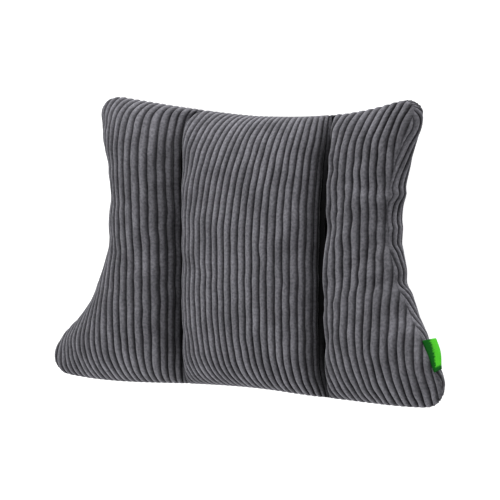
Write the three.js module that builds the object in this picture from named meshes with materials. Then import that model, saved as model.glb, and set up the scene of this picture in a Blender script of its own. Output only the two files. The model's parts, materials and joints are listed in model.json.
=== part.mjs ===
// Lumbar pillow of wide-wale corduroy: one filled cover with three upright sections and a folded label.
// Millimetres, lying on its back: x runs to the right, y towards the top edge, z up out of the face.
import * as THREE from "three";

// Outline of the cover, measured from the middle of the middle section
const HEIGHT = 317.5; // bottom edge to the tips of the top corners
const WAIST_UP = 200; // height of the narrowest place
const FLARE_UP_POWER = 1.8;
const BOTTOM_CORNER = 16; // corner radii
const TOP_CORNER = 22;
const CORNER_BLEND = 10; // softness of the change from flare to corner
const TOP_DIP = 23; // the top edge hangs this much lower in its middle
const TOP_REACH = 197; // half width over which the top edge dips
const BOTTOM_ARCH = 14.5; // the bottom edge rises in its middle
const BOTTOM_SAG = 8.8; // and is flattened again by this much
const BOTTOM_REACH = 200; // half width over which the bottom edge curves

// The two sides: half widths and flares of the outline, and how the filling stands there
const LEFT = {
  waist: 183.5,
  top: 203,
  bottom: 250.5,
  flareUp: 34,
  flareDown: 123.5,
  downPower: 2.85,
  wing: 23.5, // forward curl
  bulgeTop: 2, // the back stands out past the side seam
  bulgeBottom: 2,
  bend: THREE.MathUtils.degToRad(59), // half angle of the side section's arc
  stretchTop: 1.175, // pitch of the side section's wales against the middle section's
  stretchBottom: 1.02,
};
const RIGHT = {
  waist: 160,
  top: 195,
  bottom: 231,
  flareUp: 32.5,
  flareDown: 96,
  downPower: 1.67,
  wing: 8,
  bulgeTop: 16,
  bulgeBottom: -8,
  bend: THREE.MathUtils.degToRad(22.7),
  stretchTop: 1.065,
  stretchBottom: 1.17,
};
const WING_START = 60; // distance from the middle at which the curl starts
const WING_REACH = 160; // distance over which it reaches its full height
const WING_POWER = 1.5;

// The two sewn valleys: distance from the middle, and height over the side seam
const VALLEY_LEFT = {
  top: 96.5,
  middle: 88,
  bottom: 88,
  shoulder: 36, // the sections beside the crease
  floor: 16, // the sewn line itself
  creaseIn: 9, // reach of the crease towards the middle
  creaseOut: 26, // and towards the side
  wales: 12, // counted from the middle
};
const VALLEY_RIGHT = {
  top: 86.5,
  middle: 84,
  bottom: 89,
  shoulder: 16.5,
  floor: 4.5,
  creaseIn: 8,
  creaseOut: 3,
  wales: 13,
};
const VALLEY_POWER = 4; // the sewn line stays level for longer than the crown

// Filling of the middle section and of the back
const MIDDLE_BEND = THREE.MathUtils.degToRad(33.7); // half angle of the middle section's arc
const EDGE_POWER = 2.8; // roundness of the turn at the top and bottom edges
const BACK_DEPTH = 45; // middle of the back below the side seam, before it is pressed flat
const REST_DEPTH = 38; // the surface it lies on, below the side seam
const BACK_POWER = 3;

// Corduroy: wales run upright, and the side seams cut them off
const WALE_RELIEF = 1.2; // crest above and groove below the cloth's mean surface
const CREASE_FADE = 2; // wales over which the relief dies away beside a sewn line
const SEAM_FADE = 1.5; // and beside the side seam
const SEAM_SNAP = 0.3; // a wale line that ends closer than this to the seam joins it, in wales
const ROWS = 25; // cross rows from the bottom edge to the top edge
const ARC_STEPS = 48; // points on each arc of a row, from which the wale lines are measured off
const BACK_STEPS = 3 * ARC_STEPS;
const FLAT_BEND = 1e-4; // an arc with less bend than this is drawn as a straight line

// Folded ribbon label in the right side seam
const LABEL_UP = 55; // its middle, up from the bottom edge
const LABEL_ALONG = 33; // length in the seam
const LABEL_OUT = 12; // length out of the seam
const LABEL_PLY = 1; // thickness of the ribbon
const LABEL_GAP = 2; // space between its two plies
const LABEL_TUCK = 0.15; // its root lies this deep in the hollow of the seam
const LABEL_TILT = THREE.MathUtils.degToRad(20); // it leans towards the face

const CLOTH = new THREE.MeshStandardMaterial({ color: 0x5f5e63, roughness: 0.95, metalness: 0 });
const RIBBON = new THREE.MeshStandardMaterial({ color: 0x3fae2c, roughness: 0.8, metalness: 0 });

/** Lesser of two lengths, with a rounded change from one to the other. */
function smoothMin(a, b, blend) {
  const near = Math.max(blend - Math.abs(a - b), 0) / blend;
  return Math.min(a, b) - (near * near * blend) / 4;
}

/** Share of a corner's radius by which the outline has turned in at a distance from the edge. */
function cornerTurn(distance, radius) {
  const deep = THREE.MathUtils.clamp(1 - distance / radius, 0, 1);
  return 1 - Math.sqrt(1 - deep * deep);
}

/** Half width of the cover on one side at height y: a flare from the waist, capped by a round corner. */
function halfWidth(y, side) {
  if (y > WAIST_UP) {
    const share = Math.min((y - WAIST_UP) / (HEIGHT - WAIST_UP), 1);
    const flare = side.waist + side.flareUp * share ** FLARE_UP_POWER;
    return smoothMin(flare, side.top - TOP_CORNER * cornerTurn(HEIGHT - y, TOP_CORNER), CORNER_BLEND);
  }
  const share = Math.min((WAIST_UP - y) / WAIST_UP, 1);
  const flare = side.waist + side.flareDown * share ** side.downPower;
  return smoothMin(flare, side.bottom - BOTTOM_CORNER * cornerTurn(y, BOTTOM_CORNER), CORNER_BLEND);
}

/** Distance of a sewn line from the middle, by a parabola through its three given places. */
function valleyAt(valley, along) {
  const slant = (valley.top - valley.bottom) / 2;
  const bow = (valley.top + valley.bottom) / 2 - valley.middle;
  return valley.middle + slant * along + bow * along * along;
}

/** Whether row k is the bottom or the top edge, where front and back meet. */
function isEdge(k) {
  return k === 0 || k === ROWS - 1;
}

/** One cross row of the cover, number k of ROWS: its height share and how full the filling is there. */
function rowAt(k) {
  const turn = Math.cos(Math.PI * (1 - k / (ROWS - 1)));
  const along = Math.sign(turn) * Math.abs(turn) ** (2 / EDGE_POWER);
  const edge = isEdge(k);
  const fullness = edge ? 0 : (1 - Math.abs(along) ** EDGE_POWER) ** (1 / EDGE_POWER);
  const level = edge ? 0 : (1 - Math.abs(along) ** VALLEY_POWER) ** (1 / VALLEY_POWER);
  const up = (1 + along) / 2;
  return {
    up,
    fullness,
    level,
    valleyLeft: valleyAt(VALLEY_LEFT, along),
    valleyRight: valleyAt(VALLEY_RIGHT, along),
    left: halfWidth(HEIGHT * up, LEFT),
    right: halfWidth(HEIGHT * up, RIGHT),
  };
}

/** Points of a circular arc that bulges up from one point to another, with the given half angle. */
function arcPoints(from, to, halfAngle) {
  const bend = Math.max(halfAngle, FLAT_BEND);
  const chord = to.clone().sub(from);
  const radius = chord.length() / 2 / Math.sin(bend);
  const ahead = chord.clone().normalize();
  const out = new THREE.Vector2(-ahead.y, ahead.x);
  const middle = from.clone().add(to).multiplyScalar(0.5);
  const points = [];
  for (let step = 0; step <= ARC_STEPS; step += 1) {
    const angle = (2 * (step / ARC_STEPS) - 1) * bend;
    const point = middle.clone().addScaledVector(ahead, radius * Math.sin(angle));
    points.push(point.addScaledVector(out, radius * (Math.cos(angle) - Math.cos(bend))));
  }
  return points;
}

/** Lengths along a line of points, from its start. */
function runningLengths(points) {
  const lengths = [0];
  for (let i = 1; i < points.length; i += 1) {
    lengths.push(lengths[i - 1] + points[i].distanceTo(points[i - 1]));
  }
  return lengths;
}

/** Draws a section's points down to a sewn line, by a crease that dies away on both sides of it. */
function drawDown(points, valley, shoulder, level) {
  const depth = Math.max(shoulder.y - valley.floor * level, 0);
  for (const point of points) {
    const reach = Math.abs(point.x) < Math.abs(shoulder.x) ? valley.creaseIn : valley.creaseOut;
    point.y -= depth * Math.exp(-Math.abs(point.x - shoulder.x) / reach);
  }
}

/** Front of one row from the left seam to the right seam: three arcs, drawn down at the two sewn lines. */
function frontSection(row) {
  const seamLeft = new THREE.Vector2(-row.left, 0);
  const shoulderLeft = new THREE.Vector2(-row.valleyLeft, VALLEY_LEFT.shoulder * row.fullness);
  const shoulderRight = new THREE.Vector2(row.valleyRight, VALLEY_RIGHT.shoulder * row.fullness);
  const seamRight = new THREE.Vector2(row.right, 0);
  const points = [
    ...arcPoints(seamLeft, shoulderLeft, LEFT.bend * row.fullness),
    ...arcPoints(shoulderLeft, shoulderRight, MIDDLE_BEND * row.fullness).slice(1),
    ...arcPoints(shoulderRight, seamRight, RIGHT.bend * row.fullness).slice(1),
  ];
  drawDown(points, VALLEY_LEFT, shoulderLeft, row.level);
  drawDown(points, VALLEY_RIGHT, shoulderRight, row.level);
  return points;
}

/** Back of one row from the left seam to the right seam: a full round that stands out past the seam. */
function backSection(row) {
  const points = [];
  const bulgeLeft = THREE.MathUtils.lerp(LEFT.bulgeBottom, LEFT.bulgeTop, row.up);
  const bulgeRight = THREE.MathUtils.lerp(RIGHT.bulgeBottom, RIGHT.bulgeTop, row.up);
  for (let step = 0; step <= BACK_STEPS; step += 1) {
    const angle = Math.PI * (1 - step / BACK_STEPS);
    const side = Math.sign(Math.cos(angle));
    const depth = Math.sin(angle) ** (2 / BACK_POWER);
    const reach = (side < 0 ? row.left : row.right) * Math.abs(Math.cos(angle)) ** (2 / BACK_POWER);
    const bulge = (side < 0 ? bulgeLeft : bulgeRight) * row.fullness * 4 * depth * (1 - depth);
    points.push(new THREE.Vector2(side * (reach + bulge), -BACK_DEPTH * row.fullness * depth));
  }
  return points;
}

/** Puts a section's point into space: the edges' dip and arch, and the forward curl of the sides. */
function place(x, z, up) {
  const top = HEIGHT - TOP_DIP * Math.max(1 - (x / TOP_REACH) ** 2, 0);
  const r = x / BOTTOM_REACH;
  const bottom = BOTTOM_ARCH * (1 - r ** 2) - BOTTOM_SAG * (1 - r ** 4);
  const out = Math.max((Math.abs(x) - WING_START) / WING_REACH, 0) ** WING_POWER;
  const curl = out * (x < 0 ? LEFT.wing : RIGHT.wing);
  return new THREE.Vector3(x, bottom + (top - bottom) * up, z + curl);
}

/** A section's point at a running length. */
function pointAt(points, lengths, length) {
  let i = 1;
  while (i < points.length - 1 && lengths[i] < length) {
    i += 1;
  }
  const share = (length - lengths[i - 1]) / (lengths[i] - lengths[i - 1]);
  return points[i - 1].clone().lerp(points[i], THREE.MathUtils.clamp(share, 0, 1));
}

/** Pitch of a side section's wales at a height, from the middle section's. */
function sidePitch(side, pitch, up) {
  return pitch * THREE.MathUtils.lerp(side.stretchBottom, side.stretchTop, up);
}

/** One face's row, its wales counted from the middle: its ends at the seams, and a point for any wale. */
function waleRow(row, points, sewnLeft, sewnRight) {
  const lengths = runningLengths(points);
  const total = lengths[lengths.length - 1];
  const pitch = (sewnRight - sewnLeft) / (VALLEY_LEFT.wales + VALLEY_RIGHT.wales);
  const pitchLeft = sidePitch(LEFT, pitch, row.up);
  const pitchRight = sidePitch(RIGHT, pitch, row.up);
  const lengthAt = (wale) => {
    const pastLeft = Math.max(-VALLEY_LEFT.wales - wale, 0);
    const pastRight = Math.max(wale - VALLEY_RIGHT.wales, 0);
    const between = THREE.MathUtils.clamp(wale, -VALLEY_LEFT.wales, VALLEY_RIGHT.wales) + VALLEY_LEFT.wales;
    return sewnLeft + between * pitch - pastLeft * pitchLeft + pastRight * pitchRight;
  };
  const at = (wale) => {
    const point = pointAt(points, lengths, lengthAt(wale));
    return place(point.x, point.y, row.up);
  };
  return {
    first: -VALLEY_LEFT.wales - sewnLeft / pitchLeft,
    last: VALLEY_RIGHT.wales + (total - sewnRight) / pitchRight,
    at,
  };
}

/** The front's and the back's wale rows at row k. */
function waleRows(k) {
  const row = rowAt(k);
  const front = frontSection(row);
  const lengths = runningLengths(front);
  const back = backSection(row);
  const backMiddle = runningLengths(back)[BACK_STEPS / 2];
  return {
    front: waleRow(row, front, lengths[ARC_STEPS], lengths[2 * ARC_STEPS]),
    back: waleRow(row, back, backMiddle - row.valleyLeft, backMiddle + row.valleyRight),
  };
}

/** Height of the cord at a wale line: crests on the half counts, none in the creases or at the seams. */
function relief(wale, rowOfFace, creased) {
  const crest = Number.isInteger(wale) ? -1 : 1;
  const fromSewn = Math.min(Math.abs(wale + VALLEY_LEFT.wales), Math.abs(wale - VALLEY_RIGHT.wales));
  const fromCrease = creased ? fromSewn / CREASE_FADE : 1;
  const fromSeam = Math.min(wale - rowOfFace.first, rowOfFace.last - wale) / SEAM_FADE;
  return WALE_RELIEF * crest * THREE.MathUtils.clamp(Math.min(fromCrease, fromSeam), 0, 1);
}

/** The filled cover: front and back grids of wale lines that share the seam and the two edges. */
function pillowGeometry() {
  const rows = Array.from({ length: ROWS }, (_, k) => waleRows(k));
  const firstLine = Math.ceil(2 * Math.min(...rows.map((r) => Math.min(r.front.first, r.back.first))));
  const lastLine = Math.floor(2 * Math.max(...rows.map((r) => Math.max(r.front.last, r.back.last))));
  const positions = [];
  const addPoint = (point) => {
    positions.push(point.x, point.y, point.z);
    return positions.length / 3 - 1;
  };
  const seams = rows.map((r) => ({
    left: addPoint(r.front.at(r.front.first)),
    right: addPoint(r.front.at(r.front.last)),
  }));

  const faceGrid = (face, edgeRows) => rows.map((r, k) => {
    if (edgeRows && isEdge(k)) {
      return edgeRows[k];
    }
    const ids = [];
    for (let line = firstLine - 1; line <= lastLine + 1; line += 1) {
      const wale = line / 2;
      if (wale < r[face].first + SEAM_SNAP) {
        ids.push(seams[k].left);
      } else if (wale > r[face].last - SEAM_SNAP) {
        ids.push(seams[k].right);
      } else {
        ids.push(addPoint(wavedPoint(rows, face, k, wale)));
      }
    }
    return ids;
  });

  const front = faceGrid("front");
  const back = faceGrid("back", front);

  const index = [];
  const addTriangle = (a, b, c) => {
    if (a !== b && b !== c && c !== a) {
      index.push(a, b, c);
    }
  };
  for (let k = 0; k < ROWS - 1; k += 1) {
    for (let i = 0; i < front[k].length - 1; i += 1) {
      addTriangle(front[k][i], front[k][i + 1], front[k + 1][i + 1]);
      addTriangle(front[k][i], front[k + 1][i + 1], front[k + 1][i]);
      addTriangle(back[k][i], back[k + 1][i + 1], back[k][i + 1]);
      addTriangle(back[k][i], back[k + 1][i], back[k + 1][i + 1]);
    }
  }
  const geometry = new THREE.BufferGeometry();
  geometry.setAttribute("position", new THREE.Float32BufferAttribute(positions, 3));
  geometry.setIndex(index);
  return geometry;
}

/** Point of a face on a wale line, raised or sunk along the cloth's normal, and pressed flat underneath. */
function wavedPoint(rows, face, k, wale) {
  const line = rows[k][face];
  const point = line.at(wale);
  const height = relief(wale, line, face === "front");
  if (isEdge(k)) {
    point.y += k === 0 ? -height : height;
    return point;
  }
  const across = line.at(wale + 0.5).sub(line.at(wale - 0.5));
  const upward = rows[k + 1][face].at(wale).sub(rows[k - 1][face].at(wale));
  const normal = across.cross(upward).normalize();
  point.addScaledVector(normal, face === "front" ? height : -height);
  point.z = Math.max(point.z, -REST_DEPTH);
  return point;
}

/** Point of the right side seam at a height above the bottom edge. */
function rightSeam(y) {
  return place(halfWidth(y, RIGHT), 0, y / HEIGHT);
}

/** The label: a ribbon folded once, its two plies side by side, its ends at the seam. */
function labelMesh() {
  const half = LABEL_PLY + LABEL_GAP / 2;
  const foldAt = LABEL_OUT - half;
  const outline = new THREE.Shape();
  outline.moveTo(0, -half);
  outline.lineTo(foldAt, -half);
  outline.absarc(foldAt, 0, half, -Math.PI / 2, Math.PI / 2, false);
  outline.lineTo(0, half);
  outline.lineTo(0, LABEL_GAP / 2);
  outline.lineTo(foldAt, LABEL_GAP / 2);
  outline.absarc(foldAt, 0, LABEL_GAP / 2, Math.PI / 2, -Math.PI / 2, true);
  outline.lineTo(0, -LABEL_GAP / 2);
  const geometry = new THREE.ExtrudeGeometry(outline, {
    depth: LABEL_ALONG,
    bevelEnabled: false,
    curveSegments: 8,
  });
  geometry.translate(-LABEL_TUCK, 0, -LABEL_ALONG / 2);

  const low = rightSeam(LABEL_UP - LABEL_ALONG / 2);
  const high = rightSeam(LABEL_UP + LABEL_ALONG / 2);
  const along = high.clone().sub(low).normalize();
  const faceward = new THREE.Vector3(0, 0, 1);
  const out = along.clone().cross(faceward).normalize();
  const tilted = out.multiplyScalar(Math.cos(LABEL_TILT)).addScaledVector(faceward, Math.sin(LABEL_TILT));
  const across = along.clone().cross(tilted).normalize();
  const mesh = new THREE.Mesh(geometry, RIBBON);
  mesh.name = "label";
  mesh.setRotationFromMatrix(new THREE.Matrix4().makeBasis(across.clone().cross(along), across, along));
  mesh.position.copy(low.add(high).multiplyScalar(0.5));
  return mesh;
}

const pillow = new THREE.Mesh(pillowGeometry(), CLOTH);
pillow.name = "pillow";
const part = new THREE.Group();
part.add(pillow, labelMesh());

// The part stands on its middle: centred over the origin, with the pressed back on z = 0
const box = new THREE.Box3().setFromObject(part);
const centre = box.getCenter(new THREE.Vector3());
part.position.set(-centre.x, -centre.y, -box.min.z);
part.updateMatrixWorld(true);

export default part;
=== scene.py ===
"""Looks of a lumbar pillow in wide-wale corduroy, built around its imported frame.

Metres, in the part's frame: x runs to the right, y towards the top edge, z up out of the face. The cover's
sizes are measured from the middle of its middle section, its bottom edge and the plane of its side seams.
"""

import json
import logging
import math
from dataclasses import dataclass, field, replace
from enum import Enum

import bpy
import numpy as np
from mathutils import Matrix, Vector

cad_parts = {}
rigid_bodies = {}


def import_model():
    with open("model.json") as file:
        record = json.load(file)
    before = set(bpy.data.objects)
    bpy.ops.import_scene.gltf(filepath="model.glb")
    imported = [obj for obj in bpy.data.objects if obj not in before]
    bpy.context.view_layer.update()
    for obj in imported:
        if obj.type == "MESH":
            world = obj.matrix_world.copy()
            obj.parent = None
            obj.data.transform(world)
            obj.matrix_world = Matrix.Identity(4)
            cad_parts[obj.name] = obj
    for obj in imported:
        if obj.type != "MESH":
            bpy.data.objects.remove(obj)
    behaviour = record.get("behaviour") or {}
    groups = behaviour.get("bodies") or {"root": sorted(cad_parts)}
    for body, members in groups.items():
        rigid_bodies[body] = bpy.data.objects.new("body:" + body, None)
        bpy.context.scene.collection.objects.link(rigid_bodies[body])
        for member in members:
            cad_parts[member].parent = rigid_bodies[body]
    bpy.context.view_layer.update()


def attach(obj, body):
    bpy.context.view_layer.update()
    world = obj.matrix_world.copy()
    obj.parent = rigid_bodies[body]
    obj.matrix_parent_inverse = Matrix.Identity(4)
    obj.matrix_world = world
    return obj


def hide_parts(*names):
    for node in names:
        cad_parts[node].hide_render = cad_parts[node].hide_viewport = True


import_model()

Array = np.ndarray
Colour = tuple[float, float, float, float]
Triple = tuple[float, float, float]
Span = tuple[float, float]
Output = bpy.types.NodeSocket
Source = Output | float | tuple[float, ...]
BODY = "root"
LOG = logging.getLogger("lumbar_pillow")


class Face(Enum):
    """The two panels of the cover."""

    FRONT = "front"
    BACK = "back"


class Socket(Enum):
    """Sockets of the shader that the finishes set or link."""

    COLOUR = "Base Color"
    ROUGHNESS = "Roughness"
    GLOSS = "Specular IOR Level"
    SHEEN = "Sheen Weight"
    SHEEN_ROUGHNESS = "Sheen Roughness"
    SHEEN_TINT = "Sheen Tint"
    NORMAL = "Normal"
    GLOW_COLOUR = "Emission Color"
    GLOW = "Emission Strength"


@dataclass
class Nodes:
    """Short hand for the node tree of one material."""

    material: bpy.types.Material

    MIX_SHARE, MIX_FIRST, MIX_SECOND, MIX_RESULT = 0, 6, 7, 2  # a Mix node's sockets for colours
    NOISE_MEAN = 0.5

    @classmethod
    def of(cls, name: str) -> "Nodes":
        """Starts a new material with an empty node tree.

        Args:
            name: the material's name.

        Returns:
            The material's nodes.
        """
        material = bpy.data.materials.new(name)
        material.use_nodes = True
        material.node_tree.nodes.clear()
        return cls(material)

    def add(self, kind: str, **settings: object) -> bpy.types.Node:
        """Adds a node and sets its own properties.

        Args:
            kind: type name of the node, without the word ShaderNode.
            settings: properties of the node and their values.

        Returns:
            The new node.
        """
        node = self.material.node_tree.nodes.new("ShaderNode" + kind)
        for name, value in settings.items():
            setattr(node, name, value)
        return node

    def feed(self, socket: bpy.types.NodeSocket, source: Source) -> None:
        """Links a socket to another node's output, or sets its constant value.

        Args:
            socket: the input to feed.
            source: the output or the constant.
        """
        if isinstance(source, bpy.types.NodeSocket):
            self.material.node_tree.links.new(source, socket)
        else:
            socket.default_value = source

    def math(self, operation: str, *values: Source) -> Output:
        """Result of a Math node.

        Args:
            operation: the node's operation.
            values: up to three numbers or outputs.

        Returns:
            The result.
        """
        node = self.add("Math", operation=operation)
        for socket, value in zip(node.inputs, values):
            self.feed(socket, value)
        return node.outputs["Value"]

    def remap(self, value: Source, span: Span, result: Span) -> Output:
        """A number carried from one range to another by a smooth step, and held inside it.

        Args:
            value: the number.
            span: start and end of its range.
            result: what they become.

        Returns:
            The carried number.
        """
        node = self.add("MapRange", interpolation_type="SMOOTHSTEP")
        names = "Value", "From Min", "From Max", "To Min", "To Max"
        for name, number in zip(names, (value, *span, *result)):
            self.feed(node.inputs[name], number)
        return node.outputs["Result"]

    def noise(self, place: Output, cells: Triple, detail: float) -> Output:
        """Noise between 0 and 1.

        Args:
            place: coordinates that the noise reads.
            cells: number of noise cells for each unit of the coordinates.
            detail: number of finer layers.

        Returns:
            The noise value.
        """
        mapping = self.add("Mapping")
        self.feed(mapping.inputs["Vector"], place)
        self.feed(mapping.inputs["Scale"], cells)
        noise = self.add("TexNoise", noise_dimensions="3D")
        self.feed(noise.inputs["Vector"], mapping.outputs["Vector"])
        self.feed(noise.inputs["Scale"], 1.0)
        self.feed(noise.inputs["Detail"], detail)
        return noise.outputs["Fac"]

    def blend(self, share: Source, first: Source, second: Source, mode: str = "MIX") -> Output:
        """Two colours put together.

        Args:
            share: how much the second one counts.
            first: the first colour.
            second: the second colour.
            mode: how they are put together.

        Returns:
            The new colour.
        """
        node = self.add("Mix", data_type="RGBA", blend_type=mode)
        self.feed(node.inputs[self.MIX_SHARE], share)
        self.feed(node.inputs[self.MIX_FIRST], first)
        self.feed(node.inputs[self.MIX_SECOND], second)
        return node.outputs[self.MIX_RESULT]

    def bump(self, height: Output, strength: float, distance: float) -> Output:
        """Normal that a height gives.

        Args:
            height: the height, between 0 and 1.
            strength: how much of it counts.
            distance: size of a whole height.

        Returns:
            The normal.
        """
        node = self.add("Bump")
        for name, value in zip(("Height", "Strength", "Distance"), (height, strength, distance)):
            self.feed(node.inputs[name], value)
        return node.outputs["Normal"]

    def shade(self, sockets: dict[Socket, Source]) -> bpy.types.Material:
        """Closes the tree with its shader.

        Args:
            sockets: constant values and outputs for the shader.

        Returns:
            The finished material.
        """
        shader = self.add("BsdfPrincipled")
        for name, source in sockets.items():
            self.feed(shader.inputs[name.value], source)
        output = self.add("OutputMaterial")
        self.feed(output.inputs["Surface"], shader.outputs["BSDF"])
        return self.material


@dataclass(frozen=True)
class Corduroy:
    """Finish of the cover: matt cut pile, dark between the cords by its own ground weave and by painted
    shade, with a painted highlight on each cord's left flank and painted shade on its right, painted shade
    in the folds and on the sides, and slightly uneven in its lay.
    """

    # the groove colour is partly the darker ground weave and partly painted shade between the cords
    crest: Colour = (0.163, 0.160, 0.178, 1.0)
    groove: Colour = (0.045, 0.044, 0.050, 1.0)
    groove_start: float = 0.18  # share of a cord's half width at which the darker ground weave and the painted shade start
    lean: float = 0.34  # painted highlight and shade: the lightest line lies this far left of each cord's crest, in half widths, and the right flank darkens sooner
    pile_cells: Triple = (3.6, 2.8, 1.0)  # in a square of one wale
    pile_detail: float = 3.0
    pile_span: Span = (0.25, 0.75)  # noise of the darkest and of the lightest tufts
    pile_light: float = 0.32  # how far single tufts differ in lightness
    patch_cells: Triple = (60.0, 34.0, 60.0)  # in a metre
    patch_detail: float = 2.0
    patch_span: Span = (0.3, 0.7)
    patch_light: float = 0.20  # how far patches of brushed pile differ
    roughness: float = 0.95
    gloss: float = 0.15
    sheen: float = 0.25
    sheen_roughness: float = 0.45
    sheen_tint: Colour = (0.75, 0.75, 0.80, 1.0)
    tuft_height: float = 0.0006
    tuft_strength: float = 0.8
    fold_painted_shade: float = 0.98  # share of the light that painted shade takes deep in a fold
    fold_shade_groove_power: float = 0.8  # how much faster the painted shade darkens the grooves there, as a power

    def material(self) -> bpy.types.Material:
        """Cords from the cloth's own map: its first number counts the wales, its second runs along them.

        Returns:
            The finished material.
        """
        nodes = Nodes.of("corduroy")
        cloth_map = nodes.add("UVMap", uv_map=Pillow.CLOTH_MAP).outputs["UV"]
        pile = nodes.noise(cloth_map, self.pile_cells, self.pile_detail)
        # 0 on the painted highlight left of each crest and 1 in the grooves: painted shade across each
        # cord, partly the ground weave's own colour
        groove_and_painted_shade = nodes.remap(self.off_crest(nodes, cloth_map), (self.groove_start, 1.0), (0.0, 1.0))
        cord = nodes.blend(groove_and_painted_shade, self.crest, self.groove)
        return nodes.shade({
            Socket.COLOUR: nodes.blend(1.0, cord, self.light(nodes, pile, groove_and_painted_shade), "MULTIPLY"),
            Socket.ROUGHNESS: self.roughness,
            Socket.GLOSS: self.gloss,
            Socket.SHEEN: self.sheen,
            Socket.SHEEN_ROUGHNESS: self.sheen_roughness,
            Socket.SHEEN_TINT: self.sheen_tint,
            Socket.NORMAL: nodes.bump(pile, self.tuft_strength, self.tuft_height),
        })

    def off_crest(self, nodes: Nodes, cloth_map: Output) -> Output:
        """Distance from the painted highlight left of each crest: 0 on it and 1 in the grooves beside it,
        squared on its left, so that the right flank takes the painted shade.

        Args:
            nodes: the material's nodes.
            cloth_map: the cloth's own map.

        Returns:
            The distance.
        """
        wales = nodes.add("SeparateXYZ")
        nodes.feed(wales.inputs["Vector"], cloth_map)
        phase = nodes.math("FRACT", wales.outputs["X"])
        across = nodes.math("MULTIPLY_ADD", phase, 2.0, self.lean - 1.0)
        right = nodes.math("DIVIDE", across, 1.0 + self.lean)
        left = nodes.math("MAXIMUM", nodes.math("DIVIDE", across, self.lean - 1.0), 0.0)
        return nodes.math("MAXIMUM", nodes.math("MULTIPLY", left, left), right)

    def light(self, nodes: Nodes, pile: Output, groove_and_painted_shade: Output) -> Output:
        """Lightness of the pile: tufts, times brushed patches, times the light left by the painted shade of
        the folds and the sides.

        Args:
            nodes: the material's nodes.
            pile: noise of the tufts.
            groove_and_painted_shade: 0 on a crest and 1 in a groove.

        Returns:
            The lightness as a grey.
        """
        place = nodes.add("TexCoord").outputs["Object"]
        patch = nodes.noise(place, self.patch_cells, self.patch_detail)
        tufts = nodes.remap(pile, self.pile_span, (1.0 - self.pile_light, 1.0 + self.pile_light))
        patches = nodes.remap(patch, self.patch_span, (1.0 - self.patch_light, 1.0 + self.patch_light))
        # painted shade of the folds and the side sections, from the mesh's attribute
        fold = nodes.add("Attribute", attribute_name=Pillow.PAINTED_FOLD_SHADE).outputs["Fac"]
        left_by_painted_shade = nodes.math("MULTIPLY_ADD", fold, -self.fold_painted_shade, 1.0)
        faster = nodes.math("MULTIPLY_ADD", groove_and_painted_shade, self.fold_shade_groove_power, 1.0)
        painted_fold_shade = nodes.math("POWER", left_by_painted_shade, faster)
        light = nodes.math("MULTIPLY", nodes.math("MULTIPLY", tufts, patches), painted_fold_shade)
        grey = nodes.add("CombineColor")
        for channel in grey.inputs:
            nodes.feed(channel, light)
        return grey.outputs["Color"]


@dataclass(frozen=True)
class WovenRibbon:
    """Finish of the label: plain green ribbon with fine cross ribs, and painted shade beside the seam and
    at its lower end.
    """

    light: Colour = (0.110, 0.640, 0.030, 1.0)
    dark: Colour = (0.060, 0.460, 0.018, 1.0)
    painted_shade_colour: Colour = (0.003, 0.095, 0.006, 1.0)  # painted shade, beside the seam and at the lower end
    painted_shade_width: float = 0.34  # painted shade's share of the ribbon's way from the seam to its fold
    end_shade_width: float = 0.07  # painted shade at the lower end, as a share of the ribbon's width
    painted_shade_edge: float = 0.08
    painted_shade_uneven: float = 0.5  # how far the thread noise moves the painted shade's edge
    thread_cells: Triple = (55.0, 9.0, 1.0)
    thread_detail: float = 2.0
    ribs: float = 45.0  # in the ribbon's width
    rib_height: float = 0.00012
    rib_strength: float = 0.5
    roughness: float = 0.7
    gloss: float = 0.1

    def material(self) -> bpy.types.Material:
        """Ribs from the ribbon's own map, whose first number runs across it and whose second along it.

        A rib is a sine between 0 and 1, made uneven by the noise of the threads.

        Returns:
            The finished material.
        """
        nodes = Nodes.of("ribbon")
        ribbon_map = nodes.add("UVMap", uv_map=Label.RIBBON_MAP).outputs["UV"]
        place = nodes.add("SeparateXYZ")
        nodes.feed(place.inputs["Vector"], ribbon_map)
        across, along = place.outputs["X"], place.outputs["Y"]
        thread = nodes.noise(ribbon_map, self.thread_cells, self.thread_detail)
        turn = nodes.math("MULTIPLY", across, self.ribs * 2 * math.pi)
        rib = nodes.math("MULTIPLY_ADD", nodes.math("SINE", turn), 0.5, 0.5)
        height = nodes.math("MULTIPLY", rib, thread)
        ribbon = nodes.blend(height, self.dark, self.light)
        return nodes.shade({
            # painted shade over the ribbon, beside the seam and at its lower end
            Socket.COLOUR: nodes.blend(self.painted_shade_share(nodes, across, along, thread), ribbon, self.painted_shade_colour),
            Socket.ROUGHNESS: self.roughness,
            Socket.GLOSS: self.gloss,
            Socket.NORMAL: nodes.bump(height, self.rib_strength, self.rib_height),
        })

    def painted_shade_share(self, nodes: Nodes, across: Output, along: Output, thread: Output) -> Output:
        """Where the ribbon gets painted shade: beside the seam, with an edge made uneven by the thread
        noise, and at the lower end.

        Args:
            nodes: the material's nodes.
            across: place in the ribbon's width.
            along: place on the ribbon's way from one end over the fold to the other.
            thread: noise of the threads.

        Returns:
            1 in the painted shade and 0 outside it.
        """
        from_fold = nodes.math("ABSOLUTE", nodes.math("MULTIPLY_ADD", along, 2.0, -1.0))
        uneven = nodes.math("SUBTRACT", thread, nodes.NOISE_MEAN)
        from_fold = nodes.math("MULTIPLY_ADD", uneven, self.painted_shade_uneven, from_fold)
        start = 1.0 - self.painted_shade_width
        # painted shade beside the seam, where the loop's root lies in shadow
        seam_shade = nodes.remap(from_fold, (start - self.painted_shade_edge, start + self.painted_shade_edge), (0.0, 1.0))
        # painted shade at the lower end, where the loop opens into shadow
        end_shade = nodes.remap(across, (self.end_shade_width, self.end_shade_width + self.painted_shade_edge), (1.0, 0.0))
        return nodes.math("MAXIMUM", seam_shade, end_shade)


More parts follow.
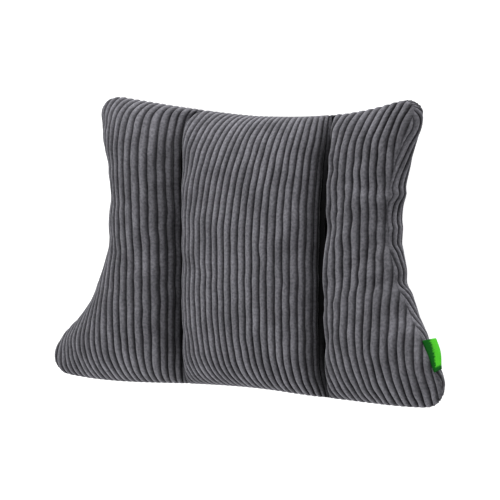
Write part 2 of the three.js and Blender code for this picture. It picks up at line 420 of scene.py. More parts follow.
@dataclass(frozen=True)
class PalePaper:
    """Finish of the studio floor."""

    light: Colour = (0.35, 0.35, 0.35, 1.0)
    roughness: float = 0.9
    gloss: float = 0.1
    glow_light: Colour = (1.0, 1.0, 1.0, 1.0)
    glow: float = 0.97  # light that comes through it from below

    def material(self) -> bpy.types.Material:
        """A plain matt sheet that is white because it is lit from below.

        Returns:
            The finished material.
        """
        return Nodes.of("pale_paper").shade({
            Socket.COLOUR: self.light,
            Socket.ROUGHNESS: self.roughness,
            Socket.GLOSS: self.gloss,
            Socket.GLOW_COLOUR: self.glow_light,
            Socket.GLOW: self.glow,
        })


@dataclass(frozen=True)
class SideShape:
    """One side of the cover: half widths from the middle, and how its filling stands."""

    waist: float
    top: float
    bottom: float
    flare_up: float  # how far the side widens from the waist to the top edge
    flare_down: float  # and to the bottom edge
    down_power: float
    corner_top: float  # radius of the outline's top corner
    blend_top: float  # width over which the flare runs into the corners
    blend_bottom: float
    dip_reach: float  # the top edge's dip ends at this distance from the middle
    dip_power: float
    wing: float  # forward curl
    bulge_top: float  # how far the back stands out past the side seam
    bulge_middle: float  # more of it at half height
    bulge_bottom: float
    bend: float  # half angle of the side section's arc
    stretch_top: float  # pitch of the side section's wales against the middle section's
    stretch_bottom: float
    flat_low: float = 0.0  # share of the bend that is lost towards the bottom edge
    fan: float = 0.0  # how much wider the wales are at the top edge
    pull: float = 0.0  # how far the seam is drawn in below the label
    pull_bulge: float = 0.0  # how far the back stands out past it there
    pull_place: float = 0.034
    pull_reach: float = 0.016
    puckers: tuple[Triple, ...] = ()  # height, depth and reach of the seam's own folds


@dataclass(frozen=True)
class Valley:
    """One sewn line: how far it runs from the middle, and how deep it is drawn in."""

    top: float
    middle: float
    bottom: float
    shoulder: float  # height of the sections beside it, over the side seam's plane
    floor: float  # height of the sewn line itself
    crease_in: float  # reach of the crease towards the middle
    crease_out: float  # and towards the side
    wales: int  # counted from the middle
    tuck: float  # depth of the narrow fold at the sewn line
    spare: float  # wales of the side section that the fold hides
    painted_dim: float  # wales over which the pile in the fold loses light, on its left wall
    painted_black: float  # wales over which painted shade darkens the fold's left wall
    painted_shade_fade: float  # how soon the fold gets shallow towards the top edge, as a power
    sweep: float = 0.0  # how soon the fold's painted shade fades towards the top edge, as a power
    freed: float = 0.0  # share of the spare wales that come out again towards the bottom edge
    freed_top: float = 0.0  # and towards the top edge
    tuck_left: float = 0.0045  # reach of the fold's sloping left wall
    tuck_right: float = 0.003  # and of its steep right wall

    def half_width(self, along: Array) -> Array:
        """Distance from the middle, by a parabola through its three given places.

        Args:
            along: -1 at the bottom edge and 1 at the top edge.

        Returns:
            The distances.
        """
        slant = (self.top - self.bottom) / 2
        bow = (self.top + self.bottom) / 2 - self.middle
        return self.middle + slant * along + bow * along**2

    def hidden(self, early: Array, swept: Array) -> Array:
        """Wales that the fold hides: its spare ones, less those that come out towards the two edges."""
        return self.spare * (1 - self.freed * early - self.freed_top * swept)


@dataclass
class Rows:
    """Cross rows of the cover, from the bottom edge to the top edge: each value is a column."""

    up: Array  # share of the height
    fullness: Array  # of the filling, 0 at the two edges
    level: Array  # of the sewn lines, which stay low for longer than the crown
    left: Array  # half widths of the cover
    right: Array
    left_valley: Array  # half widths of the middle section
    right_valley: Array
    run: Array  # length along the crown from the bottom edge
    lean_left: Array  # 0 up to where the wales start to lean, 1 at the top edge, beside the left fold
    lean_right: Array  # and beside the right fold
    late: Array  # 0 up to the shoulder of the top edge, 1 at the edge
    swept: Array  # the same, but closer to the edge
    early: Array  # 1 at the bottom edge, 0 from its shoulder up


@dataclass
class Sections:
    """Cross sections of one face: a row for each height, points from the left seam to the right seam."""

    x: Array
    z: Array
    wale: Array  # count of wales from the middle
    rims: Array  # counts at both rims of the left and the right fold, which hide the wales between them

    ROW_GAP = 1000.0  # keeps the rows apart in one long table

    def at(self, wale: Array) -> tuple[Array, Array]:
        """Points of each row at the given wale counts, between the section's own points.

        Args:
            wale: a row of wale counts for each section.

        Returns:
            The points' x and z.
        """
        shift = np.arange(len(self.x))[:, None] * self.ROW_GAP
        known = (self.wale + shift).ravel()
        wanted = wale + shift
        return np.interp(wanted, known, self.x.ravel()), np.interp(wanted, known, self.z.ravel())

    def ends(self) -> tuple[Array, Array]:
        """Wale counts at the left and the right seam, as columns."""
        return self.wale[:, :1], self.wale[:, -1:]

    def off_folds(self, wale: Array) -> list[Array]:
        """Distances in wales from the left and the right fold: negative on a fold's left, zero inside it.

        Args:
            wale: a row of wale counts for each section.

        Returns:
            The distances from the left fold and from the right fold.
        """
        pairs = zip(self.rims[::2], self.rims[1::2])
        return [np.minimum(wale - start, 0) + np.maximum(wale - end, 0) for start, end in pairs]


@dataclass(frozen=True)
class Cover:
    """The filled cover without its cords: outline, crown, sewn valleys and back."""

    left: SideShape = SideShape(
        waist=0.1835, top=0.203, bottom=0.253, flare_up=0.034, flare_down=0.1235, down_power=2.84,
        corner_top=0.022, blend_top=0.010, blend_bottom=0.026, dip_reach=0.2125, dip_power=1.5, wing=0.0235,
        bulge_top=0.002, bulge_middle=0.0, bulge_bottom=0.002, bend=math.radians(59),
        stretch_top=1.175, stretch_bottom=1.02, flat_low=0.80)
    right: SideShape = SideShape(
        waist=0.157, top=0.1943, bottom=0.231, flare_up=0.037, flare_down=0.101, down_power=1.74,
        corner_top=0.0245, blend_top=0.010, blend_bottom=0.010, dip_reach=0.178, dip_power=2.6, wing=0.008,
        bulge_top=0.016, bulge_middle=0.004, bulge_bottom=-0.008, bend=math.radians(31),
        stretch_top=1.065, stretch_bottom=1.17, fan=0.30, pull=0.0068, pull_bulge=0.0080,
        puckers=((0.076, 0.0018, 0.010), (0.127, -0.0038, 0.009), (0.169, -0.0014, 0.006),
                 (0.186, 0.0010, 0.005), (0.220, 0.0024, 0.006), (0.288, 0.0018, 0.012)))
    left_valley: Valley = Valley(
        top=0.0965, middle=0.088, bottom=0.088, shoulder=0.036, floor=0.016, crease_in=0.009,
        crease_out=0.026, wales=12, tuck=0.014, spare=2.6, painted_dim=7.5, painted_black=1.6, painted_shade_fade=1.5, sweep=0.018,
        freed_top=0.6)
    right_valley: Valley = Valley(
        top=0.0865, middle=0.084, bottom=0.089, shoulder=0.0165, floor=0.0045, crease_in=0.008,
        crease_out=0.003, wales=15, tuck=0.020, spare=1.7, painted_dim=6.4, painted_black=3.4, painted_shade_fade=0.4, freed=1.0)
    height: float = 0.3175
    waist_up: float = 0.200
    flare_up_power: float = 1.8
    bottom_corner: float = 0.016
    top_dip: float = 0.023  # depth of the top edge's dip
    bottom_arch: float = 0.0145
    bottom_sag: float = 0.0096
    bottom_reach: float = 0.200
    low_place: float = 0.072  # the bottom edge hangs lower under the right fold
    low_depth: float = 0.0020
    low_reach: float = 0.045
    crown: float = 0.053
    crown_steps: int = 4000
    edge_power: float = 2.8  # of the crown's superellipse
    valley_power: float = 4.0  # and of the sewn lines'
    middle_bend: float = math.radians(33.7)
    least_bend: float = 1e-4  # a straight section is an arc of this half angle
    flat_power: float = 9.0  # how close to the bottom edge a side loses its bend
    back_depth: float = 0.045
    back_power: float = 3.0
    wing_start: float = 0.060
    wing_reach: float = 0.160
    wing_power: float = 1.5
    lean_start: float = 0.2  # where the wales start to lean, between the middle at 0 and the top edge at 1
    lean_power_left: float = 1.4
    lean_power_right: float = 3.2
    lean_top_left: float = 1.5  # wales by which the middle section leans right at the top edge
    lean_top_right: float = 0.9
    lean_side: float = 0.8  # and the left section
    lean_fan: float = 1.4  # wales by which the middle section's left part fans out towards the top edge
    lean_bottom: float = 1.5  # wales by which the middle section leans right at the bottom edge
    late_start: float = 0.55  # where the sweep to the two edges starts
    late_power: float = 2.2
    swept_power: float = 8.0
    late_back: float = 3.0  # the back's sweep is this much shorter, as a power
    arc_steps: int = 192
    origin: Triple = (0.00831, -0.15646, 0.038)  # place of the cover's own zero in the part's frame

    def half_width(self, y: Array, side: SideShape) -> Array:
        """Half width at height y: a flare from the waist by a power, capped by round corners.

        Args:
            y: heights above the bottom edge.
            side: left or right side.

        Returns:
            Distances from the middle to the side seam.
        """
        share_up = np.clip((y - self.waist_up) / (self.height - self.waist_up), 0, 1)
        share_down = np.clip((self.waist_up - y) / self.waist_up, 0, 1)
        flare = side.waist + side.flare_up * share_up**self.flare_up_power
        flare = flare + side.flare_down * share_down**side.down_power
        flare = flare - side.pull * self.pulled(y, side)
        for place, depth, reach in side.puckers:
            flare = flare + depth * bell((y - place) / reach)
        upper = y > self.waist_up
        low = rounded(side.bottom, self.bottom_corner, y)
        high = rounded(side.top, side.corner_top, self.height - y)
        blend = np.where(upper, side.blend_top, side.blend_bottom)
        return smooth_smaller(flare, np.where(upper, high, low), blend)

    @staticmethod
    def pulled(y: Array, side: SideShape) -> Array:
        """How far a side seam is drawn in below the label: a bell curve of the height."""
        return bell((y - side.pull_place) / side.pull_reach)

    def rows(self, count: int) -> Rows:
        """Rows at equal steps along the crown line, a superellipse from the bottom edge to the top edge.

        Args:
            count: number of rows.

        Returns:
            The rows, with every value as a column.
        """
        ahead = np.cos(np.linspace(math.pi, 0, self.crown_steps + 1))
        along = np.sign(ahead) * np.abs(ahead) ** (2 / self.edge_power)
        fullness = superellipse(along, self.edge_power)
        steps = np.hypot(np.diff(along) * self.height / 2, np.diff(fullness) * self.crown)
        run = np.concatenate([[0], np.cumsum(steps)])
        wanted = np.linspace(0, run[-1], count)[:, None]
        along = np.interp(wanted, run, along)
        up = (1 + along) / 2
        swept = rise(along, self.late_start, self.swept_power)
        return Rows(
            up=up,
            fullness=superellipse(along, self.edge_power),
            level=superellipse(along, self.valley_power),
            left=self.half_width(self.height * up, self.left),
            right=self.half_width(self.height * up, self.right),
            left_valley=self.left_valley.half_width(along) - self.left_valley.sweep * swept,
            right_valley=self.right_valley.half_width(along) - self.right_valley.sweep * swept,
            run=wanted,
            lean_left=rise(along, self.lean_start, self.lean_power_left),
            lean_right=rise(along, self.lean_start, self.lean_power_right),
            late=rise(along, self.late_start, self.late_power),
            swept=swept,
            early=rise(-along, self.late_start, self.late_power),
        )

    def arc(self, start: tuple[Array, Array], end: tuple[Array, Array], bend: Array) -> tuple[Array, Array]:
        """Points of a circular arc that bulges up between two points.

        Args:
            start: x and z of the first point of each row.
            end: x and z of the last one.
            bend: half angle of the arc.

        Returns:
            x and z of the arc's points.
        """
        half = np.maximum(bend, self.least_bend)
        angle = np.linspace(-1, 1, self.arc_steps + 1) * half
        chord_x, chord_z = end[0] - start[0], end[1] - start[1]
        chord = np.hypot(chord_x, chord_z)
        radius = chord / 2 / np.sin(half)
        ahead, out = radius * np.sin(angle) / chord, radius * (np.cos(angle) - np.cos(half)) / chord
        x = (start[0] + end[0]) / 2 + chord_x * ahead - chord_z * out
        z = (start[1] + end[1]) / 2 + chord_z * ahead + chord_x * out
        return x, z

    def side_bend(self, rows: Rows, side: SideShape) -> Array:
        """Half angles of a side section's arcs: less at the edges, and less still near the bottom edge."""
        return side.bend * rows.fullness * (1 - side.flat_low * (1 - rows.up) ** self.flat_power)

    def front(self, rows: Rows) -> Sections:
        """Front sections: three arcs, drawn down to the sewn lines by creases that die away exponentially.

        A narrow tuck follows each sewn line. Wales are counted along its left wall, and stretched on its
        right one.

        Args:
            rows: the rows.

        Returns:
            The sections, from the left seam to the right seam.
        """
        zero = np.zeros_like(rows.up)
        left_end, right_end = (-rows.left, zero), (rows.right, zero)
        left_sewn = -rows.left_valley, self.left_valley.shoulder * rows.fullness
        right_sewn = rows.right_valley, self.right_valley.shoulder * rows.fullness
        arcs = [
            self.arc(left_end, left_sewn, self.side_bend(rows, self.left)),
            self.arc(left_sewn, right_sewn, self.middle_bend * rows.fullness),
            self.arc(right_sewn, right_end, self.side_bend(rows, self.right)),
        ]
        x, z = (np.hstack([arcs[0][k], arcs[1][k][:, 1:], arcs[2][k][:, 1:]]) for k in (0, 1))
        valleys = (self.left_valley, *left_sewn), (self.right_valley, *right_sewn)
        for valley, place, shoulder in valleys:
            depth = np.maximum(shoulder - valley.floor * rows.level, 0)
            crease = np.where(np.abs(x) < np.abs(place), valley.crease_in, valley.crease_out)
            z = z - depth * np.exp(-np.abs(x - place) / crease)
        counted = z
        for valley, place, _ in valleys:
            wall = np.exp(np.minimum(x - place, 0) / valley.tuck_left)
            counted = counted - valley.tuck * wall
            z = z - valley.tuck * rows.level * wall * np.exp(-np.maximum(x - place, 0) / valley.tuck_right)
        length = lengths(x, counted)
        sewn = length[:, self.arc_steps, None], length[:, 2 * self.arc_steps, None]
        rims = self.rims(rows, sewn[1] - sewn[0])
        return Sections(x, z, self.wale_counts(length, sewn, rims, rows), rims)

    def rims(self, rows: Rows, width: Array) -> Array:
        """Wale counts at the rims of the front's two folds.

        Towards the top and the bottom edge the middle section leans right, so that wales come out of the
        left fold and go into the right one. At the bottom edge the lean grows by a square. Where the left
        sewn line sweeps inwards it passes wales, and hides them as well.

        Args:
            rows: the rows.
            width: length of the middle section in each row.

        Returns:
            Counts at the left fold's outer and inner rim and at the right fold's inner and outer rim.
        """
        left, right = self.left_valley, self.right_valley
        swept = left.sweep * rows.swept
        passed = (left.wales + right.wales) * swept / (width + swept)
        lean = self.lean_bottom * rows.early**2
        return np.stack([
            -left.wales - left.hidden(rows.early, rows.swept) - self.lean_side * rows.late,
            -left.wales - lean - self.lean_top_left * rows.lean_left + passed,
            right.wales - lean - self.lean_top_right * rows.lean_right,
            right.wales + right.hidden(rows.early, rows.swept),
        ])

    def wale_counts(self, length: Array, sewn: tuple[Array, Array], rims: Array, rows: Rows) -> Array:
        """Wales counted from the middle: even between the sewn lines, and stretched beyond them.

        Towards the top edge the middle section's wales fan out, by a share of the way across it times the
        square of the rest.

        Args:
            length: running lengths along each row.
            sewn: running lengths at the two sewn lines.
            rims: wale counts at the rims of the two folds.
            rows: the rows.

        Returns:
            Wale counts of the same shape as the lengths.
        """
        first, last = sewn
        pitch = (last - first) / (rims[2] - rims[1])
        share = np.clip((length - first) / (last - first), 0, 1)
        highest = 4 / 27  # of a share times the square of the rest
        fan = self.lean_fan * rows.lean_left * share * (1 - share) ** 2 / highest
        left = rims[0] + (length - first) / pitch / self.stretch(rows, self.left)
        middle = rims[1] + (length - first) / pitch - fan
        right = rims[3] + (length - last) / pitch / self.stretch(rows, self.right)
        return np.where(length <= first, left, np.where(length > last, right, middle))

    @staticmethod
    def stretch(rows: Rows, side: SideShape) -> Array:
        """Pitch of a side section's wales against the middle section's: a line up the rows, times a fan."""
        even = side.stretch_bottom + (side.stretch_top - side.stretch_bottom) * rows.up
        return even * (1 + side.fan * rows.late)

    def back(self, rows: Rows, front_rims: Array) -> Sections:
        """Back sections: a superellipse that stands out past the side seams.

        The back has no folds. Its wales run plain, and sweep to the front's wales at the two edges.

        Args:
            rows: the rows.
            front_rims: wale counts at the rims of the front's folds.

        Returns:
            The sections, from the left seam to the right seam.
        """
        angle = np.linspace(math.pi, 0, 3 * self.arc_steps + 1)
        side = np.sign(np.cos(angle))
        depth = np.clip(np.sin(angle), 0, 1) ** (2 / self.back_power)
        reach = np.abs(np.cos(angle)) ** (2 / self.back_power)
        width = np.where(side < 0, rows.left, rows.right)
        bulge = np.where(side < 0, self.bulge(rows, self.left), self.bulge(rows, self.right)) * hump(depth)
        x = side * (width * reach + bulge * rows.fullness)
        z = -self.back_depth * rows.fullness * depth
        length = lengths(x, z)
        length = length - length[:, len(angle) // 2, None]
        late, early = rows.late**self.late_back, rows.early**self.late_back
        plain = (front_rims[[0, 0, 2, 2]] + front_rims[[1, 1, 3, 3]]).mean(axis=1, keepdims=True) / 2
        rims = plain + late * (front_rims[:, -1:] - plain) + early * (front_rims[:, :1] - plain)
        sewn = -rows.left_valley, rows.right_valley
        return Sections(x, z, self.wale_counts(length, sewn, rims, replace(rows, late=late)), rims)

    def bulge(self, rows: Rows, side: SideShape) -> Array:
        """How far the back stands out past a side seam: a line, a hump and a bell curve of the height.

        Args:
            rows: the rows.
            side: left or right side.

        Returns:
            Distances past the seam.
        """
        even = side.bulge_bottom + (side.bulge_top - side.bulge_bottom) * rows.up
        pulled = side.pull_bulge * self.pulled(self.height * rows.up, side)
        return even + side.bulge_middle * hump(rows.up) + pulled

    def placed(self, x: Array, z: Array, up: Array) -> Array:
        """Points in the part's frame: the edges' dip and arch, and the forward curl of the sides.

        With r as the distance from the middle in shares of a reach, the top edge dips by 1 - r ^ power, and
        the bottom edge stands up by an arch of 1 - r ^ 2 less a sag of 1 - r ^ 4.

        Args:
            x: distances from the middle.
            z: heights over the side seam's plane.
            up: shares of the cover's height.

        Returns:
            Points, with x, y and z in the last axis.
        """
        dips = [(np.abs(x) / side.dip_reach) ** side.dip_power for side in (self.left, self.right)]
        top = self.height - self.top_dip * np.maximum(1 - np.where(x < 0, *dips), 0)
        r = x / self.bottom_reach
        bottom = self.bottom_arch * (1 - r**2) - self.bottom_sag * (1 - r**4)
        bottom = bottom - self.low_depth * bell((x - self.low_place) / self.low_reach)
        out = np.maximum((np.abs(x) - self.wing_start) / self.wing_reach, 0) ** self.wing_power
        curl = out * np.where(x < 0, self.left.wing, self.right.wing)
        return np.stack([x, bottom + (top - bottom) * up, z + curl], axis=-1) + np.array(self.origin)

    def right_seam(self, y: Array) -> Array:
        """Points of the right side seam at heights above the bottom edge."""
        return self.placed(self.half_width(y, self.right), np.zeros_like(y), y / self.height)


@dataclass(frozen=True)
class FillingPress:
    """Uneven press of the filling on the front's cloth, from a short cloth simulation of a coarse sheet."""

    row_count: int = 48
    cells: tuple[int, int, int] = (24, 32, 16)  # across the left, middle and right section
    frames: int = 20
    pressure: float = 4.0
    slack: float = 0.05  # the cloth is this much longer than the smooth shape
    stiffness: float = 15.0
    bending: float = 0.2
    mass: float = 0.2
    noise: float = 0.0006  # unevenness that the buckles start from
    even_passes: int = 50  # smoothing along the rows of the even swell, which the smooth shape has already
    strength: Triple = (0.35, 0.28, 0.65)  # share of the buckles kept in each section
    cap: float = 0.005  # no point moves further than this
    least_move: float = 1e-9  # a shorter move counts as this long
    spread: float = 0.7  # blur between the coarse points, in cells
    seed: int = 5

    HELD = "held"

    def columns(self, cover: Cover) -> Array:
        """Places of the sheet's columns in the sections' own points.

        Args:
            cover: the filled cover.

        Returns:
            Numbers of the points, from the left seam to the right seam.
        """
        steps = cover.arc_steps
        starts = [steps * k + np.arange(cells) * (steps // cells) for k, cells in enumerate(self.cells)]
        return np.concatenate([*starts, [steps * len(self.cells)]])

    def apply(self, cover: Cover, rows: Rows, front: Sections) -> Sections:
        """Front sections moved by the simulated buckles, smoothly between the sheet's points.

        Args:
            cover: the filled cover.
            rows: rows of the sections.
            front: the smooth front sections.

        Returns:
            The moved sections.
        """
        columns = self.columns(cover)
        numbers = np.arange(len(columns))
        places = np.interp(np.arange(front.x.shape[1]), columns, numbers)
        coarse_run = np.linspace(0, 1, self.row_count) * rows.run.max()
        along = self.weights(rows.run.ravel(), coarse_run)
        across = self.weights(places, numbers)
        moved = np.einsum("ri,ijk,cj->rck", along, self.buckles(cover, columns), across)
        return replace(front, x=front.x + moved[..., 0], z=front.z + moved[..., 2])

    def weights(self, wanted: Array, known: Array) -> Array:
        """Share of each known place in each wanted one, by a bell curve of the distance in steps.

        Args:
            wanted: places to work out.
            known: places at equal steps.

        Returns:
            A row of shares for each wanted place.
        """
        shares = bell((wanted[:, None] - known) / (known[1] - known[0]) / self.spread)
        return shares / shares.sum(axis=1, keepdims=True)

    def buckles(self, cover: Cover, columns: Array) -> Array:
        """Moves of the sheet's points under pressure, without the even swell along the rows.

        The swell is what is left of the moves when each is made the mean of itself and its two neighbours,
        the middle one counted twice, many times over.

        Args:
            cover: the filled cover.
            columns: places of the sheet's columns in the sections' points.

        Returns:
            Moves for each row and column, held at the seams, the edges and the sewn lines.
        """
        plain = replace(cover, left_valley=replace(cover.left_valley, tuck=0.0),
                        right_valley=replace(cover.right_valley, tuck=0.0))
        rows = plain.rows(self.row_count)
        sections = plain.front(rows)
        rest = plain.placed(sections.x[:, columns], sections.z[:, columns], rows.up)
        held = np.zeros(rest.shape[:2], bool)
        held[[0, -1]] = True
        held[:, [0, self.cells[0], self.cells[0] + self.cells[1], -1]] = True
        uneven = np.random.default_rng(self.seed).normal(0, self.noise, rest.shape[:2]) * ~held
        start = rest + uneven[..., None] * np.array([0.0, 0.0, 1.0])
        moves = self.simulated(start, held) - rest
        swell = moves
        for _ in range(self.even_passes):
            padded = np.concatenate([swell[:1], swell, swell[-1:]])
            swell = (padded[:-2] + 2 * padded[1:-1] + padded[2:]) / 4
        kept = np.append(np.repeat(self.strength, self.cells), 0.0) * ~held
        moves = (moves - swell) * kept[..., None]
        size = np.linalg.norm(moves, axis=-1, keepdims=True)
        return moves * np.tanh(size / self.cap) * self.cap / np.maximum(size, self.least_move)

    def simulated(self, start: Array, held: Array) -> Array:
        """The sheet's points after the pressure has acted on it.

        Args:
            start: points of the sheet, by row and column.
            held: which of them stay in place.

        Returns:
            The points at the last frame.
        """
        mesh = bpy.data.meshes.new("front_sheet")
        quads, _ = grid_faces(np.arange(held.size).reshape(held.shape), flip=False)
        mesh.from_pydata(start.reshape(-1, 3).tolist(), [], quads.tolist())
        sheet = linked("front_sheet", mesh)
        sheet.vertex_groups.new(name=self.HELD).add(np.flatnonzero(held).tolist(), 1.0, "REPLACE")
        self.fill(sheet)
        scene = bpy.context.scene
        for number in range(1, self.frames + 1):
            scene.frame_set(number)
        pressed = sheet.evaluated_get(bpy.context.evaluated_depsgraph_get())
        points = np.empty(start.size, np.float32)
        pressed.data.vertices.foreach_get("co", points)
        bpy.data.objects.remove(sheet, do_unlink=True)
        bpy.data.meshes.remove(mesh)
        scene.frame_set(1)
        return points.reshape(start.shape).astype(float)

    def fill(self, sheet: bpy.types.Object) -> None:
        """Makes the sheet a cloth under pressure, held where its group says.

        Args:
            sheet: the coarse sheet.
        """
        cloth = sheet.modifiers.new("filling", "CLOTH")
        cloth.point_cache.frame_start, cloth.point_cache.frame_end = 1, self.frames
        cloth.collision_settings.use_collision = False
        settings = cloth.settings
        settings.vertex_group_mass = self.HELD
        settings.use_pressure = True
        settings.uniform_pressure_force = self.pressure
        settings.effector_weights.gravity = 0.0
        settings.shrink_min = -self.slack
        settings.tension_stiffness = settings.compression_stiffness = self.stiffness
        settings.bending_stiffness = self.bending
        settings.mass = self.mass


@dataclass(frozen=True)
class Cords:
    """The wales of the cloth: how high they stand, and how they wander."""

    height: float = 0.0032
    level: float = 0.6  # share of the height at which the cloth's mean surface lies
    roundness: float = 2.0
    steepness: float = 0.5
    pitch: float = 0.0084  # usual width of a wale, the unit along it in the cloth's map
    steps: tuple[float, ...] = (0.0, 0.06, 0.16, 0.32, 0.5, 0.68, 0.84, 0.94)  # mesh lines across one wale
    most: int = 80  # no wale is further than this from the middle one
    uneven_width: float = 0.05  # in wales
    wave_right: float = 0.052  # size of the waves in the right section, in wales
    wave_rest: float = 0.04  # and in the others
    wave_grow: float = 4.0  # wales over which one size runs into the other
    wave_calm: float = 2.0  # wales beside a fold over which the waves die away
    wave_long: float = 0.056  # length of the long wave
    wave_short: float = 0.033  # and of the short one
    long_share: float = 0.65  # of the long wave in both
    turn_long: float = 0.31  # angle by which the long wave comes earlier from wale to wale
    turn_short: float = 0.47  # and the short one later
    start_short: float = 1.3  # angle at which the short one starts
    kink: float = 0.7  # share of the waves' size
    kink_step: float = 0.012  # length from one kink to the next
    kink_sharp: float = 2.0  # how soon a kink ends, as a power of its bell curve
    seam_fade: float = 0.7  # wales over which a cord is pressed down beside a seam
    crease_fade: float = 0.5  # and beside a fold
    hidden_fade: float = 0.01  # and beside the place on the back where the front has a fold
    bottom_fade: float = 0.020  # length over which the cords are pressed down beside the bottom edge
    corner_fade: float = 0.012  # and beside the right section's top edge
    corner_fade_back: float = 0.055
    seed: int = 11

    def profile(self, wale: Array) -> Array:
        """Height share of a cord, 1 on its crest: (1 - distance from the crest ^ roundness) ^ steepness."""
        off_crest = np.abs(2 * (wale - np.floor(wale)) - 1)
        return np.clip(1 - off_crest**self.roundness, 0, 1) ** self.steepness

    def wander(self, wale: Array, run: Array, off_folds: list[Array]) -> Array:
        """How far a wale line runs beside its straight place: a fixed unevenness, two waves and kinks.

        Args:
            wale: wale counts of the lines.
            run: lengths along the rows.
            off_folds: distances from the left and the right fold.

        Returns:
            Shifts in wales.
        """
        grooves = np.arange(-self.most, self.most + 1)
        uneven = np.random.default_rng(self.seed).uniform(-1, 1, len(grooves)) * self.uneven_width
        right = np.clip(off_folds[1] / self.wave_grow, 0, 1)
        size = self.wave_rest + (self.wave_right - self.wave_rest) * right
        long_wave = np.sin(2 * math.pi * run / self.wave_long + self.turn_long * wale)
        short_wave = np.sin(2 * math.pi * run / self.wave_short - self.turn_short * wale + self.start_short)
        waves = self.long_share * long_wave + (1 - self.long_share) * short_wave
        calm = np.clip(np.minimum(*np.abs(off_folds)) / self.wave_calm, 0, 1)
        return np.interp(wale, grooves, uneven) + calm * size * (waves + self.kinks(wale, run))

    def kinks(self, wale: Array, run: Array) -> Array:
        """Small chance bends: one chance number at every step of every groove, in a bell curve along it.

        Args:
            wale: wale counts of the lines, as one row.
            run: lengths along the rows, as one column.

        Returns:
            Shifts in shares of the waves' size.
        """
        grooves = np.arange(-self.most, self.most + 1)[:, None]
        steps = np.arange(0, run.max() + self.kink_step, self.kink_step)
        chance = np.random.default_rng(self.seed).normal(0, self.kink, (len(steps), len(grooves)))
        along = bell((run - steps) / self.kink_step) ** self.kink_sharp
        return along @ chance @ np.clip(1 - np.abs(wale - grooves), 0, 1)


@dataclass
class Panel:
    """Mesh of one panel: its own points, and a grid of rows and wale lines that also uses shared points."""

    ids: Array  # point number at each place of the grid
    points: Array
    relief: Array  # height of the cloth at each point
    fold: Array  # painted shade of each point, in the folds and on the sides
    cloth_map: Array  # wale count and length along it at each place of the grid
    flip: bool  # whether the faces look the other way


